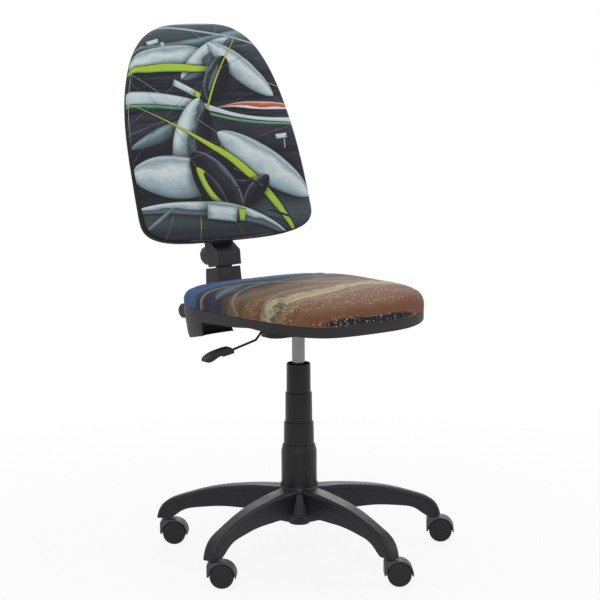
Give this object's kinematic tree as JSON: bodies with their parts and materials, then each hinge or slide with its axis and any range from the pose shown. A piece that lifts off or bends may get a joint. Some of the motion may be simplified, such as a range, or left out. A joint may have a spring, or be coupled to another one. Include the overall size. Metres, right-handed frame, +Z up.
{
  "type": "children's swivel task chair",
  "caption": "Armless child's swivel chair: rounded printed seat and tall rounded back on a telescopic gas column and a star base with twin-wheel castors.",
  "frame": {"origin": "on the floor at the axis of the column", "axes": "+Z up, the chair faces -Y, the sitter's right hand is on -X, the height lever on -X"},
  "size_m": [0.6576, 0.7734, 1.1314],
  "materials": {
    "satin_black_nylon": "satin, fine moulded grain",
    "cover_plastic": "satin, drawn along the tube",
    "castor_plastic": "semi-gloss",
    "wheel_plastic": "satin moulded nylon",
    "shell_plastic": "fine leather grain",
    "handle_plastic": "satin",
    "grey_acetal": "smooth",
    "black_steel": "semi-gloss powder coat",
    "bright_steel": "zinc plated",
    "chromed_rod": "polished chrome",
    "black_rubber": "matt",
    "plywood": "raw beech plywood",
    "foam": "open-cell cushion foam",
    "seat_print": "printed woven polyester, sandy browns with a blue rear band",
    "back_print": "printed woven polyester, charcoal ground with pale forms and lime accents"
  },
  "bodies": {
    "base": {"base_star": "satin_black_nylon", "column_tube": "black_steel", "guide_bush": "grey_acetal", "thrust_bearing": "bright_steel", "cover_section_1": "cover_plastic", "castor_1_stem": "bright_steel", "castor_2_stem": "bright_steel", "castor_3_stem": "bright_steel", "castor_4_stem": "bright_steel", "castor_5_stem": "bright_steel"},
    "rod": {"piston_rod": "chromed_rod", "rod_clip": "bright_steel", "bump_stop": "black_rubber"},
    "carriage": {"gas_cylinder": "chromed_rod", "mechanism_body": "black_steel", "lever_saddle": "grey_acetal", "tilt_bolt": "bright_steel", "seat_board": "plywood", "tee_nuts": "bright_steel", "seat_bolts": "bright_steel", "seat_shell": "shell_plastic", "shell_screws": "bright_steel", "seat_foam": "foam", "seat_fabric": "seat_print"},
    "cover_2": {"cover_section_2": "cover_plastic"},
    "cover_3": {"cover_section_3": "cover_plastic"},
    "cover_4": {"cover_section_4": "cover_plastic"},
    "lever": {"lever_rod": "black_steel", "lever_grip": "handle_plastic"},
    "pin": {"release_pin": "bright_steel"},
    "bar": {"back_bar": "black_steel", "bar_sleeve": "shell_plastic"},
    "tilt_knob": {"tilt_knob": "handle_plastic"},
    "backrest": {"back_bracket": "shell_plastic", "back_board": "plywood", "back_foam": "foam", "back_fabric": "back_print", "back_shell": "shell_plastic", "back_screws": "bright_steel"},
    "height_knob": {"height_knob": "handle_plastic"},
    "castor_1": {"castor_1_hood": "castor_plastic", "castor_1_axle": "bright_steel"},
    "castor_1_a": {"castor_1_wheel_a": "wheel_plastic"},
    "castor_1_b": {"castor_1_wheel_b": "wheel_plastic"},
    "castor_2": {"castor_2_hood": "castor_plastic", "castor_2_axle": "bright_steel"},
    "castor_2_a": {"castor_2_wheel_a": "wheel_plastic"},
    "castor_2_b": {"castor_2_wheel_b": "wheel_plastic"},
    "castor_3": {"castor_3_hood": "castor_plastic", "castor_3_axle": "bright_steel"},
    "castor_3_a": {"castor_3_wheel_a": "wheel_plastic"},
    "castor_3_b": {"castor_3_wheel_b": "wheel_plastic"},
    "castor_4": {"castor_4_hood": "castor_plastic", "castor_4_axle": "bright_steel"},
    "castor_4_a": {"castor_4_wheel_a": "wheel_plastic"},
    "castor_4_b": {"castor_4_wheel_b": "wheel_plastic"},
    "castor_5": {"castor_5_hood": "castor_plastic", "castor_5_axle": "bright_steel"},
    "castor_5_a": {"castor_5_wheel_a": "wheel_plastic"},
    "castor_5_b": {"castor_5_wheel_b": "wheel_plastic"}
  },
  "joints": [
    {"name": "swivel", "type": "hinge", "parent": "base", "child": "rod", "pos_m": [0, 0, 0.076], "axis": [0, 0, 1], "continuous": true},
    {"name": "lift", "type": "slide", "parent": "rod", "child": "carriage", "axis": [0, 0, 1], "range_m": [-0.115, 0]},
    {"name": "cover_2_slide", "type": "slide", "parent": "base", "child": "cover_2", "axis": [0, 0, 1], "range_m": [-0.0205, 0]},
    {"name": "cover_3_slide", "type": "slide", "parent": "base", "child": "cover_3", "axis": [0, 0, 1], "range_m": [-0.0395, 0]},
    {"name": "cover_4_slide", "type": "slide", "parent": "base", "child": "cover_4", "axis": [0, 0, 1], "range_m": [-0.0576, 0]},
    {"name": "lever_hinge", "type": "hinge", "parent": "carriage", "child": "lever", "pos_m": [-0.045, 0, 0.5289], "axis": [0, 1, 0], "range_deg": [0, 5], "stiffness_Nm_per_rad": 6, "springref_deg": -6.88},
    {"name": "pin_slide", "type": "slide", "parent": "carriage", "child": "pin", "axis": [0, 0, 1], "range_m": [-0.0042, 0]},
    {"name": "back_tilt", "type": "hinge", "parent": "carriage", "child": "bar", "pos_m": [0, 0.272, 0.509], "axis": [1, 0, 0], "range_deg": [-12, 8]},
    {"name": "tilt_knob_turn", "type": "hinge", "parent": "carriage", "child": "tilt_knob", "pos_m": [-0.105, 0.272, 0.509], "axis": [-1, 0, 0], "range_deg": [0, 360]},
    {"name": "back_height", "type": "slide", "parent": "bar", "child": "backrest", "axis": [0, 0.2974, 0.9548], "range_m": [0, 0.06]},
    {"name": "height_knob_turn", "type": "hinge", "parent": "backrest", "child": "height_knob", "pos_m": [0, 0.32897, 0.61823], "axis": [0, 0.9548, -0.2974], "range_deg": [0, 360]},
    {"name": "castor_1_swivel", "type": "hinge", "parent": "base", "child": "castor_1", "pos_m": [0.29513, -0.09153, 0.05], "axis": [0, 0, 1], "continuous": true},
    {"name": "castor_1_a_roll", "type": "hinge", "parent": "castor_1", "child": "castor_1_a", "pos_m": [0.31029, -0.1038, 0.025], "axis": [0.6293, 0.7771, 0], "continuous": true},
    {"name": "castor_1_b_roll", "type": "hinge", "parent": "castor_1", "child": "castor_1_b", "pos_m": [0.31029, -0.1038, 0.025], "axis": [0.6293, 0.7771, 0], "continuous": true},
    {"name": "castor_2_swivel", "type": "hinge", "parent": "base", "child": "castor_2", "pos_m": [0.17825, 0.2524, 0.05], "axis": [0, 0, 1], "continuous": true},
    {"name": "castor_2_a_roll", "type": "hinge", "parent": "castor_2", "child": "castor_2_a", "pos_m": [0.1934, 0.24013, 0.025], "axis": [0.6293, 0.7771, 0], "continuous": true},
    {"name": "castor_2_b_roll", "type": "hinge", "parent": "castor_2", "child": "castor_2_b", "pos_m": [0.1934, 0.24013, 0.025], "axis": [0.6293, 0.7771, 0], "continuous": true},
    {"name": "castor_3_swivel", "type": "hinge", "parent": "base", "child": "castor_3", "pos_m": [-0.18497, 0.24752, 0.05], "axis": [0, 0, 1], "continuous": true},
    {"name": "castor_3_a_roll", "type": "hinge", "parent": "castor_3", "child": "castor_3_a", "pos_m": [-0.16981, 0.23525, 0.025], "axis": [0.6293, 0.7771, 0], "continuous": true},
    {"name": "castor_3_b_roll", "type": "hinge", "parent": "castor_3", "child": "castor_3_b", "pos_m": [-0.16981, 0.23525, 0.025], "axis": [0.6293, 0.7771, 0], "continuous": true},
    {"name": "castor_4_swivel", "type": "hinge", "parent": "base", "child": "castor_4", "pos_m": [-0.29257, -0.09943, 0.05], "axis": [0, 0, 1], "continuous": true},
    {"name": "castor_4_a_roll", "type": "hinge", "parent": "castor_4", "child": "castor_4_a", "pos_m": [-0.27741, -0.1117, 0.025], "axis": [0.6293, 0.7771, 0], "continuous": true},
    {"name": "castor_4_b_roll", "type": "hinge", "parent": "castor_4", "child": "castor_4_b", "pos_m": [-0.27741, -0.1117, 0.025], "axis": [0.6293, 0.7771, 0], "continuous": true},
    {"name": "castor_5_swivel", "type": "hinge", "parent": "base", "child": "castor_5", "pos_m": [0.00415, -0.30897, 0.05], "axis": [0, 0, 1], "continuous": true},
    {"name": "castor_5_a_roll", "type": "hinge", "parent": "castor_5", "child": "castor_5_a", "pos_m": [0.02032, -0.31988, 0.025], "axis": [0.5592, 0.829, 0], "continuous": true},
    {"name": "castor_5_b_roll", "type": "hinge", "parent": "castor_5", "child": "castor_5_b", "pos_m": [0.02032, -0.31988, 0.025], "axis": [0.5592, 0.829, 0], "continuous": true}
  ],
  "couplings": [
    {"joint": "cover_2_slide", "follows": "lift", "ratio": 0.17},
    {"joint": "cover_3_slide", "follows": "lift", "ratio": 0.335},
    {"joint": "cover_4_slide", "follows": "lift", "ratio": 0.5},
    {"joint": "pin_slide", "follows": "lever_hinge", "m_per_rad": -0.045}
  ]
}
